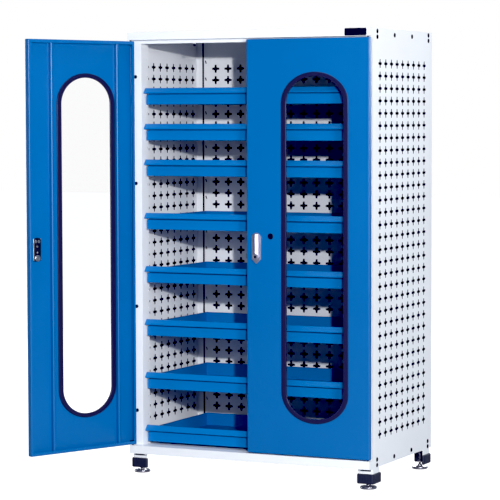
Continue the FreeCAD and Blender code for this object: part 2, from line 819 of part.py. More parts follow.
def lock_cam():
    """The right lever's nut, with a cam that reaches behind the left door's edge."""
    y0 = door_thickness + cam_gap
    nut_y = lock_plate_depth + lock_plate_sheet + fit_gap
    neck = rod_y(nut_radius, handle_x, lock_axis_z, nut_y, y0 + cam_thickness)
    arm = block(handle_x - cam_reach, handle_x, y0, y0 + cam_thickness,
                lock_axis_z - cam_width / 2, lock_axis_z + cam_width / 2)
    return neck.fuse(arm).removeSplitter()


def plug():
    """The round plug in the right door beside the handle."""
    x = handle_x + plug_from_handle
    head = rod_y(plug_radius, x, plug_z, -plug_height, 0)
    return head.fuse(rod_y(plug_shank_radius, x, plug_z, 0, door_sheet))


def open_left(shape):
    """A closed right-door piece, mirrored to the left door and swung to where that door rests."""
    shape = other_side(shape)
    shape.rotate(Vector(-pivot_x, pivot_from_front, 0), Vector(0, 0, 1), -left_door_rest_angle)
    return shape


def carcass_nodes():
    """Everything that stands still."""
    nodes = {
        "side_panel_right": side_panel(),
        "back_panel": back_panel(),
        "top_panel": top_panel(),
        "bottom_panel": bottom_panel(),
        "front_post_right": front_post(),
        "rear_post_right": rear_post(),
        "door_stop_rail": door_stop_rail(),
        "carcass_screws": carcass_screws(),
        "door_buffers": door_buffers(),
        "door_pivots": door_pivots(),
        "tray_rails": fixed_rails(),
        "badge_plate": badge_plate(),
        "foot_brackets": foot_brackets(),
        "corner_bumpers": corner_bumpers(),
    }
    for name in ("side_panel", "front_post", "rear_post"):
        nodes[name + "_left"] = other_side(nodes[name + "_right"])
    return nodes


def foot_nodes():
    """The four levelling feet."""
    x = half_width - foot_from_side
    return {
        "foot_front_left": levelling_foot(-x, foot_front_y),
        "foot_front_right": levelling_foot(x, foot_front_y),
        "foot_rear_left": levelling_foot(-x, foot_rear_y),
        "foot_rear_right": levelling_foot(x, foot_rear_y),
    }


def tray_nodes():
    """The trays and their runners, numbered from the top."""
    nodes = {}
    for number, top_z in enumerate(tray_top_zs, start=1):
        nodes[f"tray_{number}"] = tray(top_z)
        nodes[f"tray_{number}_runners"] = tray_runners(top_z)
    return nodes


def door_nodes():
    """Both doors. Each piece is made on the closed right door."""
    shared = {
        "door_skin": door_skin(),
        "door_edges": door_edges(),
        "door_pivot_blocks": pivot_blocks(),
        "door_ribs": door_ribs(),
        "door_gasket": window_gasket(),
        "door_pane": window_pane(),
        "handle_plate": handle_plate(),
        "lock_plate": lock_plate(),
        "lever": lever(),
        "key_cylinder": key_cylinder(),
    }
    nodes = {}
    for name, shape in shared.items():
        nodes[name + "_left"] = open_left(shape)
        nodes[name + "_right"] = shape
    nodes["door_skin_right"] = nodes["door_skin_right"].cut(plug())
    nodes["spindle_nut_left"] = open_left(spindle_nut())
    nodes["lock_cam_right"] = lock_cam()
    nodes["door_plug"] = plug()
    return nodes


def all_nodes():
    """Every node, with the origin at the bottom centre of the whole cabinet's box."""
    nodes = carcass_nodes() | foot_nodes() | tray_nodes() | door_nodes()
    bounds = Part.makeCompound(list(nodes.values())).optimalBoundingBox(False, False)
    shift = Vector(-bounds.Center.x, -bounds.Center.y, -bounds.ZMin)
    for shape in nodes.values():
        shape.translate(shift)
    return nodes, shift


nodes, origin_shift = all_nodes()
os.makedirs("parts", exist_ok=True)
for name, shape in nodes.items():
    if min(solid.Volume for solid in shape.Solids) <= 0:
        print("empty or reversed solid:", name)
    shape.exportStep(f"parts/{name}.step")
print(len(nodes), "nodes, shift", origin_shift)
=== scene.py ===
import json
import math

import bmesh
import bpy
from mathutils import Matrix, Vector


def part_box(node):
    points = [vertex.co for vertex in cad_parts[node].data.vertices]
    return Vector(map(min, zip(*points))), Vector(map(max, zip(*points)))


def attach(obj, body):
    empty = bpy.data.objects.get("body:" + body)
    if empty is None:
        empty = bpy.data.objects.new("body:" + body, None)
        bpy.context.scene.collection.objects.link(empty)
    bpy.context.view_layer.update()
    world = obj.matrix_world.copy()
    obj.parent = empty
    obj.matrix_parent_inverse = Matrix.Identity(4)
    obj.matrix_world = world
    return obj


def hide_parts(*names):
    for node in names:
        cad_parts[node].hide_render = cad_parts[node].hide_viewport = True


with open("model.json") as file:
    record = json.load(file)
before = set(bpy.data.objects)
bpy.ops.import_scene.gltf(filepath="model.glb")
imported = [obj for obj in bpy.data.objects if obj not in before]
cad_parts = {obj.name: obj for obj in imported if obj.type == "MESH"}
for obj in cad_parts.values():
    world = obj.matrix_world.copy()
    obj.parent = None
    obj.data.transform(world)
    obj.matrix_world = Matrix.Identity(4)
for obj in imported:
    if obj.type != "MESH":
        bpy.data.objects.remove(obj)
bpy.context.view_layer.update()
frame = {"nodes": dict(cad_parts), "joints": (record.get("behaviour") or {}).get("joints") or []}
nodes = frame["nodes"]


# The floor is a pale studio floor, wide enough for every view. To the camera it glows like an
# over-lit white sweep, so it meets the white background without a line.
floor_size = 60.0
floor_mesh = bpy.data.meshes.new("studio_floor")
shape = bmesh.new()
bmesh.ops.create_grid(shape, x_segments=1, y_segments=1, size=floor_size / 2)
shape.to_mesh(floor_mesh)
shape.free()
floor = bpy.data.objects.new("studio_floor", floor_mesh)
bpy.context.collection.objects.link(floor)
floor_paint = bpy.data.materials.new("studio_floor")
floor_paint.use_nodes = True
floor_tree = floor_paint.node_tree
floor_shader = floor_tree.nodes["Principled BSDF"]
floor_shader.inputs["Base Color"].default_value = (0.42, 0.42, 0.43, 1)
floor_shader.inputs["Roughness"].default_value = 1.0
floor_shader.inputs["Specular IOR Level"].default_value = 0.0
floor_shader.inputs["Emission Color"].default_value = (1, 1, 1, 1)
floor_sight = floor_tree.nodes.new("ShaderNodeLightPath")
floor_glow = floor_tree.nodes.new("ShaderNodeMath")
floor_glow.operation = "MULTIPLY"
floor_glow.inputs[1].default_value = 1.0
floor_tree.links.new(floor_sight.outputs["Is Camera Ray"], floor_glow.inputs[0])
floor_tree.links.new(floor_glow.outputs["Value"], floor_shader.inputs["Emission Strength"])
floor_mesh.materials.append(floor_paint)


# The camera stands well to the right of the cabinet and a little below its roof, with a long lens.
# Its place is measured from the roof's front right corner.
corner = Vector((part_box("side_panel_right")[1][0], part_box("top_panel")[0][1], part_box("top_panel")[1][2]))
camera_place = corner + Vector((3.4212, -8.2208, -0.3498))
camera_yaw = math.radians(25.668)
camera_pitch = math.radians(-3.440)
camera_roll = math.radians(-0.153)
camera_data = bpy.data.cameras.new("camera")
camera_data.sensor_width = 36.0
camera_data.lens = 160.61
camera_data.clip_end = 90.0
camera = bpy.data.objects.new("camera", camera_data)
bpy.context.collection.objects.link(camera)
turn = Matrix.Rotation(camera_yaw, 4, "Z") @ Matrix.Rotation(math.pi / 2 + camera_pitch, 4, "X")
turn = turn @ Matrix.Rotation(camera_roll, 4, "Z")
camera.matrix_world = Matrix.Translation(camera_place) @ turn
bpy.context.scene.camera = camera


# A small bright lamp near the camera throws the crisp slanting shadows inside the cabinet, and a
# fill from the right front lights the right side. Broad soft boxes above, behind and at both sides
# light the roof, the floor and the perforated sheets. To the camera the room is plain white.
def studio_lamp(name, place, aim, size, watts):
    data = bpy.data.lights.new(name, "AREA")
    data.shape = "DISK"
    data.size = size
    data.energy = watts
    lamp = bpy.data.objects.new(name, data)
    lamp.location = place
    lamp.rotation_euler = (Vector(aim) - Vector(place)).to_track_quat("-Z", "Y").to_euler()
    bpy.context.collection.objects.link(lamp)


middle = Vector((corner.x - 0.55, corner.y + 0.3, corner.z / 2))
studio_lamp("key_lamp", corner + Vector((3.19, -6.33, 0.431)), middle, 0.16, 402.0)
studio_lamp("right_fill", corner + Vector((5.2, -5.0, 0.3)), middle, 2.0, 225.0)
studio_lamp("right_soft_box", corner + Vector((2.9, 5.1, 0.5)), corner + Vector((0, 0.3, -1.1)), 2.0, 85.0)
studio_lamp("overhead_soft_box", Vector((0.1, -1.4, 6.0)), Vector((0.1, 0.1, 0.0)), 3.0, 80.0)
studio_lamp("left_soft_box", Vector((-5.5, 1.6, 1.4)), Vector((-0.4, 0.2, 1.0)), 3.0, 190.0)
studio_lamp("rear_soft_box", Vector((-1.5, 6.0, 2.4)), middle, 3.0, 160.0)
room = bpy.data.worlds.new("white_room")
room.use_nodes = True
room_tree = room.node_tree
room_tree.nodes["Background"].inputs["Color"].default_value = (0.44, 0.70, 1.0, 1)
room_tree.nodes["Background"].inputs["Strength"].default_value = 0.18
backdrop = room_tree.nodes.new("ShaderNodeBackground")
backdrop.inputs["Color"].default_value = (1.0, 1.0, 1.0, 1)
backdrop.inputs["Strength"].default_value = 1.0
seen = room_tree.nodes.new("ShaderNodeLightPath")
choice = room_tree.nodes.new("ShaderNodeMixShader")
room_tree.links.new(seen.outputs["Is Camera Ray"], choice.inputs["Fac"])
room_tree.links.new(room_tree.nodes["Background"].outputs["Background"], choice.inputs[1])
room_tree.links.new(backdrop.outputs["Background"], choice.inputs[2])
room_tree.links.new(choice.outputs["Shader"], room_tree.nodes["World Output"].inputs["Surface"])
bpy.context.scene.world = room
finish = bpy.context.scene.view_settings
finish.view_transform = "Standard"
finish.use_curve_mapping = True
finish.curve_mapping.black_level = (0.020, 0.022, 0.010)
finish.curve_mapping.white_level = (1.0, 1.0, 1.0)


# The roof and the floor are pressed from sheet steel with a box along the front, and coated white.
# Each is the frame's own solid with its long folds and edges rounded, under a fine powder coat.
def powder_coat(name, colour, roughness, peel, gloss):
    paint = bpy.data.materials.new(name)
    paint.use_nodes = True
    tree = paint.node_tree
    shader = tree.nodes["Principled BSDF"]
    place = tree.nodes.new("ShaderNodeTexCoord")
    skin = tree.nodes.new("ShaderNodeTexNoise")
    skin.inputs["Scale"].default_value = 650.0
    skin.inputs["Detail"].default_value = 2.0
    bump = tree.nodes.new("ShaderNodeBump")
    bump.inputs["Strength"].default_value = peel
    bump.inputs["Distance"].default_value = 0.0004
    cloud = tree.nodes.new("ShaderNodeTexNoise")
    cloud.inputs["Scale"].default_value = 2.2
    cloud.inputs["Detail"].default_value = 3.0
    tone = tree.nodes.new("ShaderNodeValToRGB")
    tone.color_ramp.elements[0].position = 0.3
    tone.color_ramp.elements[0].color = [channel * 0.96 for channel in colour] + [1]
    tone.color_ramp.elements[1].position = 0.7
    tone.color_ramp.elements[1].color = [min(channel * 1.03, 1.0) for channel in colour] + [1]
    matt = tree.nodes.new("ShaderNodeMapRange")
    matt.inputs["To Min"].default_value = roughness - 0.04
    matt.inputs["To Max"].default_value = roughness + 0.04
    links = tree.links
    links.new(place.outputs["Object"], skin.inputs["Vector"])
    links.new(place.outputs["Object"], cloud.inputs["Vector"])
    links.new(skin.outputs["Fac"], bump.inputs["Height"])
    links.new(bump.outputs["Normal"], shader.inputs["Normal"])
    links.new(cloud.outputs["Fac"], tone.inputs["Fac"])
    links.new(tone.outputs["Color"], shader.inputs["Base Color"])
    links.new(cloud.outputs["Fac"], matt.inputs["Value"])
    links.new(matt.outputs["Result"], shader.inputs["Roughness"])
    shader.inputs["Specular IOR Level"].default_value = gloss
    return paint


def even_shading(piece):
    shading = piece.modifiers.new("even_shading", "WEIGHTED_NORMAL")
    shading.mode = "FACE_AREA"
    shading.weight = 100
    shading.keep_sharp = True


def sheet_metal(piece, thickness):
    skin = piece.modifiers.new("thickness", "SOLIDIFY")
    skin.thickness = thickness
    skin.offset = -1.0
    skin.use_even_offset = True


def add_piece(name, shape, material, body, stands_for=(), thickness=None, sharp_above=30):
    mesh = bpy.data.meshes.new(name)
    shape.to_mesh(mesh)
    shape.free()
    piece = bpy.data.objects.new(name, mesh)
    bpy.context.collection.objects.link(piece)
    mesh.materials.append(material)
    mesh.shade_smooth()
    mesh.set_sharp_from_angle(angle=math.radians(sharp_above))
    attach(piece, body)
    if stands_for:
        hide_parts(*stands_for)
    if thickness:
        sheet_metal(piece, thickness)
    even_shading(piece)
    return piece


weld_gap = 0.00001
flat_angle = 0.02


def merged_copy(node):
    shape = bmesh.new()
    shape.from_mesh(nodes[node].data)
    bmesh.ops.remove_doubles(shape, verts=shape.verts[:], dist=weld_gap)
    bmesh.ops.dissolve_limit(shape, angle_limit=flat_angle, verts=shape.verts[:], edges=shape.edges[:])
    return shape


def round_over(shape, edges, radius, segments):
    bmesh.ops.bevel(shape, geom=edges, offset=radius, segments=segments, profile=0.5, affect="EDGES",
                    material=-1)


def round_edges(shape, radius, least_length, segments=2, least_angle=0.8):
    sharp = []
    for edge in shape.edges:
        if len(edge.link_faces) != 2 or edge.calc_length() <= least_length:
            continue
        if edge.calc_face_angle() > least_angle:
            sharp.append(edge)
    round_over(shape, sharp, radius, segments)


white_coat = powder_coat("white_powder_coat", (0.87, 0.89, 0.93), 0.45, 0.05, 0.25)
press_radius = 0.0006
press_least_length = 0.02
for node in ("top_panel", "bottom_panel"):
    shape = merged_copy(node)
    round_edges(shape, press_radius, press_least_length)
    add_piece(node + "_pressing", shape, white_coat, "carcass", [node])


# The posts, the stop rail and the foot brackets are channels and angles of the same coated sheet.
# The front posts carry the slanting slots that the tray rails hook into.
for node in ("front_post_left", "front_post_right", "rear_post_left", "rear_post_right",
             "door_stop_rail", "foot_brackets"):
    shape = merged_copy(node)
    round_edges(shape, press_radius, press_least_length)
    add_piece(node + "_profile", shape, white_coat, "carcass", [node])


# The perforated sides and back are flat sheets punched with rows of crosses, one cell of the grid
# at a time. The outermost cells are drawn out to the edges of the sheet.
sheet = 0.0015
hole_step_across = 0.061
hole_step_up = 0.050
first_column = 0.110
lowest_row = 0.216
side_columns = 9
back_columns = 16
rows = 31
cross_reach = 0.0178
cross_tip = 0.0040
cross_root = 0.0054
cross_waist = 0.0076
grid_weld = 0.0001
hair = 0.001
front_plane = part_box("top_panel")[0][1]
cabinet_middle = (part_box("side_panel_left")[0][0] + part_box("side_panel_right")[1][0]) / 2


def fill_front(shape, edges):
    bmesh.ops.triangle_fill(shape, edges=edges, use_beauty=True, use_dissolve=False, normal=(0, -1, 0))


def punched_sheet(across, up, hole_ring):
    shape = bmesh.new()
    rim = [shape.verts.new((x * across / 2, 0, z * up / 2)) for x, z in ((-1, -1), (1, -1), (1, 1), (-1, 1))]
    hole = [shape.verts.new(place) for place in hole_ring]
    for ring in (rim, hole):
        for here, there in zip(ring, ring[1:] + ring[:1]):
            shape.edges.new((here, there))
    fill_front(shape, shape.edges[:])
    return shape


def verts_of(geometry):
    return [item for item in geometry if isinstance(item, bmesh.types.BMVert)]


def repeat(shape, step, count):
    first = shape.verts[:] + shape.edges[:] + shape.faces[:]
    for number in range(1, count):
        copied = bmesh.ops.duplicate(shape, geom=first)["geom"]
        bmesh.ops.translate(shape, verts=verts_of(copied), vec=Vector(step) * number)
    bmesh.ops.remove_doubles(shape, verts=shape.verts[:], dist=grid_weld)


def draw_out(shape, axis, from_low, to_low, from_high, to_high):
    for vert in shape.verts:
        if vert.co[axis] < from_low + hair:
            vert.co[axis] = to_low
        elif vert.co[axis] > from_high - hair:
            vert.co[axis] = to_high


def crossed_sheet(columns, left, right, low, high, first):
    arm = [(-cross_root, cross_waist), (-cross_tip, cross_reach),
           (cross_tip, cross_reach), (cross_root, cross_waist)]
    ring = []
    for quarter in range(4):
        spin = Matrix.Rotation(math.radians(90 * quarter), 3, "Y")
        ring += [spin @ Vector((x, 0, z)) for x, z in arm]
    shape = punched_sheet(hole_step_across, hole_step_up, ring)
    repeat(shape, (hole_step_across, 0, 0), columns)
    repeat(shape, (0, 0, hole_step_up), rows)
    bmesh.ops.translate(shape, verts=shape.verts[:], vec=(first, 0, lowest_row))
    half_across = hole_step_across / 2
    half_up = hole_step_up / 2
    last = first + (columns - 1) * hole_step_across
    highest_row = lowest_row + (rows - 1) * hole_step_up
    draw_out(shape, 0, first - half_across, left, last + half_across, right)
    draw_out(shape, 2, lowest_row - half_up, low, highest_row + half_up, high)
    return shape


for side, outward in (("left", -1), ("right", 1)):
    low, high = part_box(f"side_panel_{side}")
    shape = crossed_sheet(side_columns, low[1], high[1], low[2], high[2], front_plane + first_column)
    bmesh.ops.rotate(shape, verts=shape.verts[:], matrix=Matrix.Rotation(math.pi / 2, 3, "Z"))
    bmesh.ops.translate(shape, verts=shape.verts[:], vec=(high[0] if outward > 0 else low[0], 0, 0))
    if outward < 0:
        bmesh.ops.reverse_faces(shape, faces=shape.faces[:])
    add_piece(f"perforated_side_{side}", shape, white_coat, "carcass",
              [f"side_panel_{side}"], sheet)


def gather(shape, extra, place):
    held = bpy.data.meshes.new("held")
    extra.to_mesh(held)
    held.transform(place)
    if place.determinant() < 0:
        held.flip_normals()
    shape.from_mesh(held)
    bpy.data.meshes.remove(held)


slot_step = 0.075
slot_count = 22
lowest_slot = 0.171
slot_from_edge = 0.009
slot_half_length = 0.007
slot_half_width = 0.0026
slot_lean = math.radians(20)
low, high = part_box("back_panel")
margin = back_columns / 2 * hole_step_across
first = cabinet_middle - margin + hole_step_across / 2
shape = crossed_sheet(back_columns, cabinet_middle - margin, cabinet_middle + margin, low[2], high[2], first)
strip_width = (high[0] - low[0]) / 2 - margin
for side in (-1, 1):
    lean = Matrix.Rotation(side * slot_lean, 3, "Y")
    off_middle = Vector((side * (strip_width / 2 - slot_from_edge), 0, 0))
    ring = []
    for a, b in ((-1, -1), (1, -1), (1, 1), (-1, 1)):
        ring.append(off_middle + lean @ Vector((a * slot_half_width, 0, b * slot_half_length)))
    strip = punched_sheet(strip_width, slot_step, ring)
    repeat(strip, (0, 0, slot_step), slot_count)
    strip_middle = cabinet_middle + side * (margin + strip_width / 2)
    bmesh.ops.translate(strip, verts=strip.verts[:], vec=(strip_middle, 0, lowest_slot))
    strip_top = lowest_slot + (slot_count - 0.5) * slot_step
    draw_out(strip, 2, lowest_slot - slot_step / 2, low[2], strip_top, high[2])
    gather(shape, strip, Matrix())
    strip.free()
bmesh.ops.translate(shape, verts=shape.verts[:], vec=(0, low[1], 0))
add_piece("perforated_back", shape, white_coat, "carcass", ["back_panel"], sheet)


# A thin dark sheet of painted shade lies in the middle of each perforated sheet, so every cross looks
# black from inside and outside. Behind the back it runs on into the rear posts and shades their gaps.
film_dark = bpy.data.materials.new("painted_shade_film")
film_dark.use_nodes = True
film_tree = film_dark.node_tree
film_shader = film_tree.nodes["Principled BSDF"]
film_shader.inputs["Roughness"].default_value = 0.85
film_shader.inputs["Specular IOR Level"].default_value = 0.0
film_place = film_tree.nodes.new("ShaderNodeTexCoord")
shade_film_mottle = film_tree.nodes.new("ShaderNodeTexNoise")
shade_film_mottle.inputs["Scale"].default_value = 240.0
film_tone = film_tree.nodes.new("ShaderNodeValToRGB")
film_tone.color_ramp.elements[0].color = (0.004, 0.004, 0.010, 1)
film_tone.color_ramp.elements[1].color = (0.010, 0.010, 0.020, 1)
film_tree.links.new(film_place.outputs["Object"], shade_film_mottle.inputs["Vector"])
film_tree.links.new(shade_film_mottle.outputs["Fac"], film_tone.inputs["Fac"])
film_tree.links.new(film_tone.outputs["Color"], film_shader.inputs["Base Color"])
film_thickness = 0.0002
film_margin = 0.002
post_reach = 0.010


# Each film is a flat near-black sheet of painted shade, seen through the crosses and the post gaps.
def painted_shade_film(name, low, high, across):
    shape = bmesh.new()
    bmesh.ops.create_grid(shape, x_segments=2, y_segments=4, size=0.5)
    size = [high[axis] - low[axis] for axis in range(3)]
    bmesh.ops.rotate(shape, verts=shape.verts[:], matrix=Matrix.Rotation(math.pi / 2, 3, "X"))
    if across == "Y":
        bmesh.ops.rotate(shape, verts=shape.verts[:], matrix=Matrix.Rotation(math.pi / 2, 3, "Z"))
    bmesh.ops.scale(shape, verts=shape.verts[:], vec=size)
    bmesh.ops.translate(shape, verts=shape.verts[:], vec=[(low[axis] + high[axis]) / 2 for axis in range(3)])
    piece = add_piece(name, shape, film_dark, "carcass", (), film_thickness)
    piece.modifiers["thickness"].offset = 0.0


for side in ("left", "right"):
    low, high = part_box(f"side_panel_{side}")
    inset = Vector((0, film_margin, film_margin))
    painted_shade_film(f"painted_shade_film_{side}", Vector(low) + inset, Vector(high) - inset, "Y")
low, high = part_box("back_panel")
reach = Vector((post_reach, 0, -film_margin))
painted_shade_film("painted_shade_film_back", Vector(low) - reach, Vector(high) + reach, "X")


# Black button-head screws hold the sides to the roof, the floor and the posts. Each has a domed
# head with a socket, turned in one piece.
def turned(profile, steps):
    shape = bmesh.new()
    line = [shape.verts.new((radius, 0, height)) for radius, height in profile]
    edges = [shape.edges.new(pair) for pair in zip(line, line[1:])]
    bmesh.ops.spin(shape, geom=line + edges, cent=(0, 0, 0), axis=(0, 0, 1), dvec=(0, 0, 0),
                   angle=2 * math.pi, steps=steps, use_merge=True, use_duplicate=False)
    bmesh.ops.remove_doubles(shape, verts=shape.verts[:], dist=weld_gap)
    bmesh.ops.recalc_face_normals(shape, faces=shape.faces[:])
    return shape


def islands(node):
    shape = bmesh.new()
    shape.from_mesh(nodes[node].data)
    bmesh.ops.remove_doubles(shape, verts=shape.verts[:], dist=weld_gap)
    left = set(shape.verts)
    boxes = []
    while left:
        reached = [left.pop()]
        places = []
        while reached:
            vert = reached.pop()
            places.append(vert.co.copy())
            for edge in vert.link_edges:
                other = edge.other_vert(vert)
                if other in left:
                    left.remove(other)
                    reached.append(other)
        low = Vector([min(place[axis] for place in places) for axis in range(3)])
        high = Vector([max(place[axis] for place in places) for axis in range(3)])
        boxes.append((low, high))
    shape.free()
    return sorted(boxes, key=lambda box: tuple(box[0]))


def moulded(name, colour, roughness, grain_scale, grain):
    stuff = bpy.data.materials.new(name)
    stuff.use_nodes = True
    tree = stuff.node_tree
    shader = tree.nodes["Principled BSDF"]
    place = tree.nodes.new("ShaderNodeTexCoord")
    noise = tree.nodes.new("ShaderNodeTexNoise")
    noise.inputs["Scale"].default_value = grain_scale
    bump = tree.nodes.new("ShaderNodeBump")
    bump.inputs["Strength"].default_value = grain
    bump.inputs["Distance"].default_value = 0.0005
    tone = tree.nodes.new("ShaderNodeValToRGB")
    tone.color_ramp.elements[0].color = [channel * 0.8 for channel in colour] + [1]
    tone.color_ramp.elements[1].color = [min(channel * 1.2, 1.0) for channel in colour] + [1]
    links = tree.links
    links.new(place.outputs["Object"], noise.inputs["Vector"])
    links.new(noise.outputs["Fac"], bump.inputs["Height"])
    links.new(bump.outputs["Normal"], shader.inputs["Normal"])
    links.new(noise.outputs["Fac"], tone.inputs["Fac"])
    links.new(tone.outputs["Color"], shader.inputs["Base Color"])
    shader.inputs["Roughness"].default_value = roughness
    shader.inputs["Specular IOR Level"].default_value = 0.3
    return stuff


black_finish = moulded("black_screw_finish", (0.004, 0.004, 0.006), 0.8, 500.0, 0.15)
black_finish.node_tree.nodes["Principled BSDF"].inputs["Specular IOR Level"].default_value = 0.0
screw_profile = [(0.0, 0.0010), (0.0030, 0.0010), (0.0035, 0.0022), (0.0070, 0.0021), (0.0086, 0.0015),
                 (0.0094, 0.0005), (0.0094, 0.0), (0.0, 0.0)]
screw_head = turned(screw_profile, 14)
screw_height = 0.0022
shape = bmesh.new()
for low, high in islands("carcass_screws"):
    head_x = high.x if high.x > cabinet_middle else low.x
    outward = 1 if high.x > cabinet_middle else -1
    seat = Vector((head_x - outward * screw_height, (low.y + high.y) / 2, (low.z + high.z) / 2))
    gather(shape, screw_head, Matrix.Translation(seat) @ Matrix.Rotation(outward * math.pi / 2, 4, "Y"))
screw_head.free()
add_piece("side_screws", shape, black_finish, "carcass", ["carcass_screws"], None, 50)


# Round rubber buffers on the posts and under the roof stop the doors. They are moulded with a
# rounded face.
black_rubber = moulded("black_rubber", (0.006, 0.006, 0.020), 0.5, 400.0, 0.3)
shape = bmesh.new()
for low, high in islands("door_buffers"):
    radius = (high.x - low.x) / 2
    depth = high.y - low.y
    profile = [(0.0, depth), (radius * 0.55, depth), (radius * 0.85, depth * 0.88),
               (radius, depth * 0.6), (radius, 0.0), (0.0, 0.0)]
    buffer = turned(profile, 20)
    seat = Vector(((low.x + high.x) / 2, high.y, (low.z + high.z) / 2))
    gather(shape, buffer, Matrix.Translation(seat) @ Matrix.Rotation(math.pi / 2, 4, "X"))
    buffer.free()
add_piece("rubber_buffers", shape, black_rubber, "carcass", ["door_buffers"], None, 50)


# The name plate is a small dark plastic plate with rounded corners and a raised rim. It is bare.
def plain_box(size, middle):
    shape = bmesh.new()
    bmesh.ops.create_cube(shape, size=1.0)
    bmesh.ops.scale(shape, verts=shape.verts[:], vec=size)
    bmesh.ops.translate(shape, verts=shape.verts[:], vec=middle)
    return shape


def edges_along(shape, axis, least=hair):
    return [edge for edge in shape.edges if abs(edge.verts[0].co[axis] - edge.verts[1].co[axis]) > least]


plate_plastic = moulded("name_plate_plastic", (0.006, 0.006, 0.022), 0.3, 350.0, 0.1)
plate_corner = 0.0055
rim_slope = 0.0004
rim_width = 0.0018
rim_height = 0.0005
low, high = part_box("badge_plate")
shape = plain_box([high[axis] - low[axis] for axis in range(3)], (0, 0, 0))
round_over(shape, edges_along(shape, 1, hair / 2), plate_corner, 5)
face = min(shape.faces, key=lambda item: item.calc_center_median().y)
bmesh.ops.inset_region(shape, faces=[face], thickness=rim_slope, depth=0.0)
bmesh.ops.inset_region(shape, faces=[face], thickness=rim_width, depth=0.0)
bmesh.ops.inset_region(shape, faces=[face], thickness=rim_slope, depth=-rim_height)
bmesh.ops.translate(shape, verts=shape.verts[:], vec=[(low[axis] + high[axis]) / 2 for axis in range(3)])
add_piece("name_plate", shape, plate_plastic, "carcass", ["badge_plate"])


# Thick rubber sleeves protect the four bottom corners. They are moulded with rounded corners and
# fine upright ribs, and wrap the brackets inside and outside. A tab of the same rubber lies behind
# each bracket's slot.
sleeve_wall = 0.014
sleeve_corner_radius = 0.009
sleeve_end_radius = 0.0064
sleeve_rim_radius = 0.0052
tab_size = (0.052, 0.002, 0.026)
tab_edge = 0.0006
tab_from_end = 0.038
tab_from_face = 0.0113
tab_rise = 0.007
square_corner = 1.0
sleeve_rubber = moulded("ribbed_rubber", (0.022, 0.026, 0.044), 0.42, 300.0, 0.2)
rib_tree = sleeve_rubber.node_tree
rib_place = rib_tree.nodes.new("ShaderNodeMapping")
rib_place.inputs["Rotation"].default_value = (0, 0, math.radians(45))
ribs = rib_tree.nodes.new("ShaderNodeTexWave")
ribs.inputs["Scale"].default_value = 62.0
rib_bump = rib_tree.nodes.new("ShaderNodeBump")
rib_bump.inputs["Strength"].default_value = 0.6
rib_bump.inputs["Distance"].default_value = 0.0012
grain_bump = next(item for item in rib_tree.nodes if item.bl_idname == "ShaderNodeBump" and item != rib_bump)
coordinates = next(item for item in rib_tree.nodes if item.bl_idname == "ShaderNodeTexCoord")
rib_tree.links.new(coordinates.outputs["Object"], rib_place.inputs["Vector"])
rib_tree.links.new(rib_place.outputs["Vector"], ribs.inputs["Vector"])
rib_tree.links.new(ribs.outputs["Fac"], rib_bump.inputs["Height"])
rib_tree.links.new(grain_bump.outputs["Normal"], rib_bump.inputs["Normal"])
rib_tree.links.new(rib_bump.outputs["Normal"], rib_tree.nodes["Principled BSDF"].inputs["Normal"])
shape = bmesh.new()
middle_y = (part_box("corner_bumpers")[0][1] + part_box("corner_bumpers")[1][1]) / 2
for low, high in islands("corner_bumpers"):
    right = high.x > cabinet_middle
    front = low.y < middle_y
    x0, x1 = (high.x, low.x) if right else (low.x, high.x)
    y0, y1 = (low.y, high.y) if front else (high.y, low.y)
    inner_x = x0 + math.copysign(sleeve_wall, x1 - x0)
    inner_y = y0 + math.copysign(sleeve_wall, y1 - y0)
    plan = [(x0, y0), (x1, y0), (x1, inner_y), (inner_x, inner_y), (inner_x, y1), (x0, y1)]
    sleeve = bmesh.new()
    base = sleeve.faces.new([sleeve.verts.new((x, y, low.z)) for x, y in plan])
    lifted = bmesh.ops.extrude_face_region(sleeve, geom=[base])["geom"]
    bmesh.ops.translate(sleeve, verts=verts_of(lifted), vec=(0, 0, high.z - low.z))
    bmesh.ops.recalc_face_normals(sleeve, faces=sleeve.faces[:])
    upright = edges_along(sleeve, 2)
    corner_edge = [edge for edge in upright
                   if abs(edge.verts[0].co.x - x0) < hair and abs(edge.verts[0].co.y - y0) < hair]
    end_edges = [edge for edge in upright if edge not in corner_edge and edge.calc_face_angle_signed() > 0]
    round_over(sleeve, corner_edge, sleeve_corner_radius, 5)
    round_over(sleeve, [edge for edge in end_edges if edge.is_valid], sleeve_end_radius, 4)
    level = [edge for edge in sleeve.edges if abs(edge.verts[0].co.z - edge.verts[1].co.z) < hair]
    rims = [edge for edge in level if edge.calc_face_angle(0) > square_corner]
    round_over(sleeve, rims, sleeve_rim_radius, 4)
    gather(shape, sleeve, Matrix())
    sleeve.free()
    tab = plain_box(tab_size, (0, 0, 0))
    round_over(tab, tab.edges[:], tab_edge, 2)
    tab_x = x0 + math.copysign(tab_from_end, x1 - x0)
    tab_y = y0 + math.copysign(tab_from_face, y1 - y0)
    gather(shape, tab, Matrix.Translation((tab_x, tab_y, high.z + tab_rise)))
    tab.free()
add_piece("corner_sleeves", shape, sleeve_rubber, "carcass", ["corner_bumpers"], None, 40)


